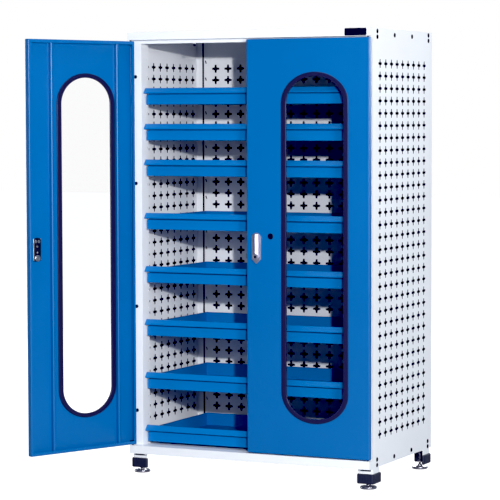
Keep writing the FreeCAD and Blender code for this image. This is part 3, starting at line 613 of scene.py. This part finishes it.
# Levelling feet stand under the corners. Each is a turned and polished pad with a rounded rim and a
# shallow hollow inside it, on a threaded stem with a hexagon lock nut below the bracket.
def bare_metal(name, colour, roughness, streak):
    metal = bpy.data.materials.new(name)
    metal.use_nodes = True
    tree = metal.node_tree
    shader = tree.nodes["Principled BSDF"]
    shader.inputs["Metallic"].default_value = 1.0
    place = tree.nodes.new("ShaderNodeTexCoord")
    noise = tree.nodes.new("ShaderNodeTexNoise")
    noise.inputs["Scale"].default_value = 60.0
    noise.inputs["Detail"].default_value = 4.0
    spread = tree.nodes.new("ShaderNodeMapRange")
    spread.inputs["To Min"].default_value = max(roughness - streak, 0.02)
    spread.inputs["To Max"].default_value = roughness + streak
    tone = tree.nodes.new("ShaderNodeValToRGB")
    tone.color_ramp.elements[0].color = [channel * 0.88 for channel in colour] + [1]
    tone.color_ramp.elements[1].color = [min(channel * 1.08, 1.0) for channel in colour] + [1]
    links = tree.links
    links.new(place.outputs["Object"], noise.inputs["Vector"])
    links.new(noise.outputs["Fac"], spread.inputs["Value"])
    links.new(spread.outputs["Result"], shader.inputs["Roughness"])
    links.new(noise.outputs["Fac"], tone.inputs["Fac"])
    links.new(tone.outputs["Color"], shader.inputs["Base Color"])
    return metal


foot_chrome = bare_metal("foot_chrome", (0.50, 0.49, 0.56), 0.27, 0.04)
pad_profile = [(0.0, 0.0), (0.0310, 0.0), (0.0334, 0.0016), (0.0340, 0.0050), (0.0334, 0.0084),
               (0.0312, 0.0102), (0.0282, 0.0104), (0.0256, 0.0090), (0.0180, 0.0098), (0.0112, 0.0122),
               (0.0092, 0.0180)]
thread_step = 0.0016
thread_low = 0.0180
thread_high = 0.1074
stem_radius = 0.0050
thread_depth = 0.0007
nut_corner_radius = 0.0100
nut_height = 0.008
nut_middle = 0.0777
nut_edge = 0.0007
for side in ("front_left", "front_right", "rear_left", "rear_right"):
    low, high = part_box(f"foot_{side}")
    profile = list(pad_profile)
    for turn_number in range(int((thread_high - thread_low) / thread_step)):
        height = thread_low + turn_number * thread_step
        profile += [(stem_radius - thread_depth, height), (stem_radius, height + thread_step / 2)]
    profile.append((0.0, thread_high))
    shape = turned(profile, 32)
    nut = bmesh.new()
    bmesh.ops.create_cone(nut, cap_ends=True, segments=6, radius1=nut_corner_radius,
                          radius2=nut_corner_radius, depth=nut_height)
    round_over(nut, nut.edges[:], nut_edge, 2)
    gather(shape, nut, Matrix.Translation((0, 0, nut_middle)))
    nut.free()
    bmesh.ops.translate(shape, verts=shape.verts[:], vec=((low[0] + high[0]) / 2, (low[1] + high[1]) / 2, 0))
    add_piece(f"levelling_foot_{side}", shape, foot_chrome, f"foot_{side}",
              [f"foot_{side}"], None, 35)


# The tray slides are channels of bright zinc-plated steel: fixed rails on the posts, and runners
# welded to the trays. They are the frame's own solids.
def dress(material, *names):
    for name in names:
        mesh = nodes[name].data
        mesh.materials.clear()
        mesh.materials.append(material)


zinc = bare_metal("zinc_plate", (0.60, 0.61, 0.64), 0.32, 0.08)
dress(zinc, "tray_rails", *[f"tray_{number}_runners" for number in range(1, 9)])


# Each tray is an open box folded from blue coated sheet. A shallow pan with rounded corners is
# welded to its front, and a sloping pull with a folded lip runs along the top.
tray_blue = powder_coat("tray_blue_powder_coat", (0.010, 0.176, 0.490), 0.36, 0.05, 0.35)
tray_sheet = 0.0012
hem_width = 0.0045
pull_overlap = 0.0045
pull_reach = 0.0145
wall_inset = 0.0050
wall_drop = 0.0125
pan_depth = 0.0100
pull_drop = 0.0230
pull_lip = 0.0050
pull_return = 0.0060
weld_lap = 0.0015
pan_slot = 0.0050
pan_corner = 0.0030
box_fold = 0.0020
pan_fold = 0.0022
pull_fold = 0.0012
shallow_fold = 0.4


def folds_of(shape, least_angle=square_corner):
    return [edge for edge in shape.edges
            if len(edge.link_faces) == 2 and edge.calc_face_angle() > least_angle]


def folded_strip(places, along):
    shape = bmesh.new()
    line = [shape.verts.new(place) for place in places]
    for here, there in zip(line, line[1:]):
        shape.edges.new((here, there))
    drawn = bmesh.ops.extrude_edge_only(shape, edges=shape.edges[:])["geom"]
    bmesh.ops.translate(shape, verts=verts_of(drawn), vec=along)
    bmesh.ops.recalc_face_normals(shape, faces=shape.faces[:])
    return shape


for number in range(1, 9):
    tray = f"tray_{number}"
    low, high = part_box(tray)
    middle_x = (low[0] + high[0]) / 2
    half = (high[0] - low[0]) / 2 - pull_overlap
    front_y = low[1] + pull_reach

    box_front = front_y + pan_depth + tray_sheet
    box_size = (2 * (half - wall_inset), high[1] - box_front, high[2] - wall_drop - low[2])
    middle_y = (box_front + high[1]) / 2
    shape = plain_box(box_size, (middle_x, middle_y, low[2] + box_size[2] / 2))
    lid = max(shape.faces, key=lambda face: face.calc_center_median().z)
    bmesh.ops.delete(shape, geom=[lid], context="FACES_ONLY")
    rim = [edge for edge in shape.edges if edge.is_boundary]
    hem = bmesh.ops.extrude_edge_only(shape, edges=rim)["geom"]
    for vert in verts_of(hem):
        vert.co.x -= math.copysign(hem_width, vert.co.x - middle_x)
        vert.co.y -= math.copysign(hem_width, vert.co.y - middle_y)
    bmesh.ops.recalc_face_normals(shape, faces=shape.faces[:])
    if max(shape.faces, key=lambda face: face.calc_area()).normal.z > 0:
        bmesh.ops.reverse_faces(shape, faces=shape.faces[:])
    round_over(shape, folds_of(shape), box_fold, 3)
    add_piece(f"tray_box_{number}", shape, tray_blue, tray, [tray], tray_sheet)

    pan_size = (2 * half, pan_depth, high[2] - pull_drop - pan_slot - low[2])
    shape = plain_box(pan_size, (middle_x, front_y + pan_depth / 2, low[2] + pan_size[2] / 2))
    rear = max(shape.faces, key=lambda face: face.calc_center_median().y)
    bmesh.ops.delete(shape, geom=[rear], context="FACES_ONLY")
    round_over(shape, edges_along(shape, 1), pan_corner, 5)
    round_over(shape, folds_of(shape), pan_fold, 3)
    add_piece(f"tray_front_{number}", shape, tray_blue, tray, [tray], tray_sheet)

    section = [(pan_depth, -wall_drop - weld_lap), (pan_depth, 0.0), (0.0, 0.0),
               (-pull_reach, pull_lip - pull_drop), (-pull_reach, -pull_drop),
               (pull_return - pull_reach, -pull_drop)]
    places = [(low[0], front_y + y, high[2] + z) for y, z in section]
    shape = folded_strip(places, (high[0] - low[0], 0, 0))
    if max(shape.faces, key=lambda face: face.calc_area()).normal.z < 0:
        bmesh.ops.reverse_faces(shape, faces=shape.faces[:])
    round_over(shape, folds_of(shape, shallow_fold), pull_fold, 3)
    add_piece(f"tray_pull_{number}", shape, tray_blue, tray, [tray], tray_sheet)


# Each door hangs on blackened pins and plastic blocks in its folded edges. The pins and blocks are
# the frame's own solids.
dark_steel = bare_metal("blackened_steel", (0.07, 0.07, 0.10), 0.45, 0.08)
dress(dark_steel, "door_pivots", "door_pivot_blocks_left", "door_pivot_blocks_right")


# Each door is a folded pan of blue sheet steel with a tall window. Both are made on the closed
# right door; the left one is its mirror image, swung to where the door stands open.
door_blue = powder_coat("door_blue_powder_coat", (0.012, 0.143, 0.408), 0.31, 0.04, 0.45)
door_low, door_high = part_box("door_skin_right")
door_thickness = 0.025
door_sheet = 0.0015
pan_wall = 0.0012
door_lip = 0.014
fold_radius = 0.0038
window_half = 0.149
window_rise = 0.126
window_from_hinge = 0.0912
window_low = 0.2573
window_high = 1.6842
gasket_grip = 0.010
window_x = door_high[0] - window_from_hinge - window_half
left_hinge = next(joint for joint in frame["joints"] if joint["name"] == "left_door_hinge")
left_pivot = Vector(left_hinge["pos_m"])
left_opening = math.radians(-left_hinge["range_deg"][0])
flip = Matrix.Translation((cabinet_middle, 0, 0)) @ Matrix.Scale(-1, 4, (1, 0, 0))
flip = flip @ Matrix.Translation((-cabinet_middle, 0, 0))
swing = Matrix.Translation(left_pivot) @ Matrix.Rotation(-left_opening, 4, "Z")
swing = swing @ Matrix.Translation(-left_pivot)


def on_both_doors(name, shape, material, stands_for, thickness=None):
    for side in ("right", "left"):
        copy = shape.copy()
        if side == "left":
            bmesh.ops.transform(copy, matrix=swing @ flip, verts=copy.verts[:])
            bmesh.ops.reverse_faces(copy, faces=copy.faces[:])
        hidden = [f"{node}_{side}" for node in stands_for]
        add_piece(f"{name}_{side}", copy, material, f"{side}_door", hidden, thickness)
    shape.free()


def window_ring(shape, inset_side, inset_end, depth, steps=72):
    ring = bmesh.ops.create_circle(shape, segments=steps, radius=1.0)["verts"]
    half = window_half - inset_side
    rise = window_rise - inset_end
    for vert in ring:
        angle = math.atan2(vert.co.y, vert.co.x) + math.pi / steps
        up = math.sin(angle)
        middle_z = window_high - window_rise if up > 0 else window_low + window_rise
        vert.co = Vector((window_x + half * math.cos(angle), depth, middle_z + rise * up))
    return ring


def loop_edges(verts):
    inside = set(verts)
    edges = [edge for vert in verts for edge in vert.link_edges if edge.other_vert(vert) in inside]
    return list(dict.fromkeys(edges))


shape = bmesh.new()
corners = [(door_low[0], door_low[2]), (door_high[0], door_low[2]),
           (door_high[0], door_high[2]), (door_low[0], door_high[2])]
border = [shape.verts.new((x, front_plane, z)) for x, z in corners]
for here, there in zip(border, border[1:] + border[:1]):
    shape.edges.new((here, there))
border_edges = shape.edges[:]
ring = window_ring(shape, gasket_grip, gasket_grip, front_plane)
fill_front(shape, border_edges + loop_edges(ring))
sides = bmesh.ops.extrude_edge_only(shape, edges=border_edges)["geom"]
side_verts = verts_of(sides)
bmesh.ops.translate(shape, verts=side_verts, vec=(0, door_thickness, 0))
side_edges = [item for item in sides
              if isinstance(item, bmesh.types.BMEdge) and all(vert in side_verts for vert in item.verts)]
lips = bmesh.ops.extrude_edge_only(shape, edges=side_edges)["geom"]
door_middle = Vector(((door_low[0] + door_high[0]) / 2, 0, (door_low[2] + door_high[2]) / 2))
for vert in verts_of(lips):
    vert.co.x += math.copysign(door_lip, door_middle.x - vert.co.x)
    vert.co.z += math.copysign(door_lip, door_middle.z - vert.co.z)
bmesh.ops.recalc_face_normals(shape, faces=shape.faces[:])
round_over(shape, folds_of(shape), fold_radius, 4)
if max(shape.faces, key=lambda face: face.calc_area()).normal.y > 0:
    bmesh.ops.reverse_faces(shape, faces=shape.faces[:])
on_both_doors("door_pan", shape, door_blue, ["door_skin", "door_edges"], pan_wall)


# Two upright channels stiffen each door from the inside. Their open side is welded to the skin.
rib_places = (0.078, 0.415)
rib_width = 0.012
rib_top = 0.017
rib_sheet = 0.0010
rib_fold = 0.0056
rib_length = door_high[2] - door_low[2] - 2 * door_sheet
shape = bmesh.new()
for place in rib_places:
    rib_x = door_high[0] - place
    path = [(rib_x - rib_width, door_sheet), (rib_x - rib_width, rib_top),
            (rib_x, rib_top), (rib_x, door_sheet)]
    places = [(x, front_plane + y, door_low[2] + door_sheet) for x, y in path]
    rib = folded_strip(places, (0, 0, rib_length))
    gather(shape, rib, Matrix())
    rib.free()
if max(shape.faces, key=lambda face: face.calc_center_median().y).normal.y < 0:
    bmesh.ops.reverse_faces(shape, faces=shape.faces[:])
round_over(shape, folds_of(shape), rib_fold, 7)
on_both_doors("door_stiffener", shape, door_blue, ["door_ribs"], rib_sheet)


# The window frame is a rubber ring with a rounded face. It grips the skin and the pane.
gasket_rubber = moulded("gasket_rubber", (0.022, 0.022, 0.062), 0.30, 300.0, 0.1)
gasket_side = 0.024
gasket_end = 0.018
gasket_stand = 0.0025
gasket_depth = 0.008
gasket_edge = 0.0030
shape = bmesh.new()
outer = window_ring(shape, 0, 0, front_plane - gasket_stand)
inner = window_ring(shape, gasket_side, gasket_end, front_plane - gasket_stand)
bmesh.ops.bridge_loops(shape, edges=loop_edges(outer) + loop_edges(inner))
rear = bmesh.ops.extrude_face_region(shape, geom=shape.faces[:])["geom"]
bmesh.ops.translate(shape, verts=verts_of(rear), vec=(0, gasket_depth, 0))
bmesh.ops.recalc_face_normals(shape, faces=shape.faces[:])
rounded = [edge for edge in shape.edges if edge.calc_face_angle(0) > square_corner]
round_over(shape, rounded, gasket_edge, 4)
on_both_doors("window_frame", shape, gasket_rubber, ["door_gasket"])


# The panes are clear plastic, so thin that they hardly colour what stands behind them. They are
# the frame's own solids.
clear = bpy.data.materials.new("clear_pane")
clear.use_nodes = True
pane_tree = clear.node_tree
pane_shader = pane_tree.nodes["Principled BSDF"]
pane_place = pane_tree.nodes.new("ShaderNodeTexCoord")
pane_waves = pane_tree.nodes.new("ShaderNodeTexNoise")
pane_waves.inputs["Scale"].default_value = 12.0
pane_spread = pane_tree.nodes.new("ShaderNodeMapRange")
pane_spread.inputs["To Min"].default_value = 0.02
pane_spread.inputs["To Max"].default_value = 0.06
pane_tree.links.new(pane_place.outputs["Object"], pane_waves.inputs["Vector"])
pane_tree.links.new(pane_waves.outputs["Fac"], pane_spread.inputs["Value"])
pane_tree.links.new(pane_spread.outputs["Result"], pane_shader.inputs["Roughness"])
pane_shader.inputs["Base Color"].default_value = (0.04, 0.06, 0.10, 1)
pane_shader.inputs["Specular IOR Level"].default_value = 0.08
pane_shader.inputs["Alpha"].default_value = 0.02
dress(clear, "door_pane_left", "door_pane_right")


# The shield behind each lever is cast metal, chromed, round at the top and pointed at the bottom.
# The lever is a faceted bar with a hub, and the key cylinder sits in the hub.
chrome = bare_metal("satin_chrome", (0.50, 0.49, 0.59), 0.50, 0.04)
key_face = bare_metal("dark_key_face", (0.10, 0.10, 0.13), 0.30, 0.06)
shield_edge = 0.0014
lever_edge = 0.0008
cast_least_length = 0.0005
lever_least_angle = 0.6
for side in ("left", "right"):
    shape = merged_copy(f"handle_plate_{side}")
    round_edges(shape, shield_edge, cast_least_length, 3)
    add_piece(f"handle_shield_{side}", shape, chrome, f"{side}_door",
              [f"handle_plate_{side}"], None, 35)
    shape = merged_copy(f"lever_{side}")
    round_edges(shape, lever_edge, cast_least_length, 2, lever_least_angle)
    add_piece(f"lever_bar_{side}", shape, chrome, f"{side}_lever", [f"lever_{side}"], None, 35)
    shape = merged_copy(f"key_cylinder_{side}")
    add_piece(f"key_barrel_{side}", shape, key_face, f"{side}_key",
              [f"key_cylinder_{side}"], None, 35)


# Behind each lever sits the lock: a zinc-plated channel on the door's skin, under a blackened cover
# with rounded ends and domed rivets.
case_low, case_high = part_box("lock_plate_right")
rivet_stand = 0.0015
cover_rear = case_high[1] - rivet_stand
cover_sheet = 0.0030
cover_end_radius = 0.0120
cover_edge = 0.0009
channel_sheet = 0.0015
channel_fold = 0.0020
channel_setback = 0.001
cover_overhang = 0.004
cover_inset = 0.002
case_middle = (case_low[0] + case_high[0]) / 2
channel_rear = cover_rear - channel_setback
path = [(case_low[0], case_low[1]), (case_low[0], channel_rear),
        (case_high[0], channel_rear), (case_high[0], case_low[1])]
places = [(x, y, case_low[2] + cover_overhang) for x, y in path]
shape = folded_strip(places, (0, 0, case_high[2] - case_low[2] - 2 * cover_overhang))
if max(shape.faces, key=lambda face: face.calc_center_median().y).normal.y < 0:
    bmesh.ops.reverse_faces(shape, faces=shape.faces[:])
round_over(shape, folds_of(shape), channel_fold, 3)
on_both_doors("lock_channel", shape, zinc, ["lock_plate"], channel_sheet)

cover_size = (case_high[0] - case_low[0] - 2 * cover_inset, cover_sheet, case_high[2] - case_low[2])
cover_middle = (case_middle, cover_rear - cover_sheet / 2, (case_low[2] + case_high[2]) / 2)
shape = plain_box(cover_size, cover_middle)
round_over(shape, edges_along(shape, 1), cover_end_radius, 8)
rims = [edge for edge in shape.edges if edge.calc_face_angle(0) > square_corner]
round_over(shape, rims, cover_edge, 2)
on_both_doors("lock_cover", shape, dark_steel, ["lock_plate"])

rivet_profile = [(0.0, 0.0015), (0.0022, 0.0013), (0.0035, 0.0008), (0.0040, 0.0), (0.0, 0.0)]
stud_profile = [(0.0, 0.0009), (0.0030, 0.0009), (0.0036, 0.0015), (0.0052, 0.0014),
                (0.0062, 0.0), (0.0, 0.0)]
rivet = turned(rivet_profile, 14)
stud = turned(stud_profile, 18)
stud_off_middle = 0.0078
stud_drop = 0.0150
rivet_drops = (0.0360, 0.0600)
heads = [(-stud_off_middle, stud_drop, stud), (stud_off_middle, stud_drop, stud)]
heads += [(0.0, drop, rivet) for drop in rivet_drops]
shape = bmesh.new()
for off_middle, drop, head in heads:
    seat = Vector((case_middle + off_middle, cover_rear, case_high[2] - drop))
    gather(shape, head, Matrix.Translation(seat) @ Matrix.Rotation(-math.pi / 2, 4, "X"))
rivet.free()
stud.free()
on_both_doors("lock_rivets", shape, zinc, ["lock_plate"])


# A round nut holds the left spindle on the inside. On the right spindle sits the cam that reaches
# behind the left door: both are zinc-plated steel.
nut_low, nut_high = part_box("spindle_nut_left")
inward = swing.to_3x3() @ Vector((0, 1, 0))
nut_depth = 0.0040
groove_floor = nut_depth - 0.0006
nut_shoulder = nut_depth - 0.0014
nut_profile = [(0.0, nut_depth), (0.0045, nut_depth), (0.0050, groove_floor), (0.0058, groove_floor),
               (0.0064, nut_depth), (0.0112, nut_depth), (0.0130, nut_shoulder), (0.0130, 0.0), (0.0, 0.0)]
shape = turned(nut_profile, 32)
seat = (Vector(nut_low) + Vector(nut_high)) / 2 - inward * nut_depth / 2
facing = inward.to_track_quat("Z", "Y").to_matrix().to_4x4()
bmesh.ops.transform(shape, matrix=Matrix.Translation(seat) @ facing, verts=shape.verts[:])
add_piece("spindle_cap", shape, zinc, "left_lever", ["spindle_nut_left"], None, 35)
dress(zinc, "lock_cam_right")


# A small domed plastic plug closes a spare hole beside the right handle.
plug_low, plug_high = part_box("door_plug")
plug_radius = (plug_high[0] - plug_low[0]) / 2
shank_radius = plug_radius * 0.8
plug_profile = [(0.0, 0.0025), (plug_radius * 0.5, 0.0022), (plug_radius * 0.82, 0.0013),
                (plug_radius, 0.0003), (plug_radius, -0.0003), (shank_radius, -0.0003),
                (shank_radius, -0.0038), (0.0, -0.0038)]
shape = turned(plug_profile, 24)
seat = Vector(((plug_low[0] + plug_high[0]) / 2, front_plane, (plug_low[2] + plug_high[2]) / 2))
facing = Matrix.Rotation(math.pi / 2, 4, "X")
bmesh.ops.transform(shape, matrix=Matrix.Translation(seat) @ facing, verts=shape.verts[:])
add_piece("hole_plug", shape, plate_plastic, "right_door", ["door_plug"], None, 35)
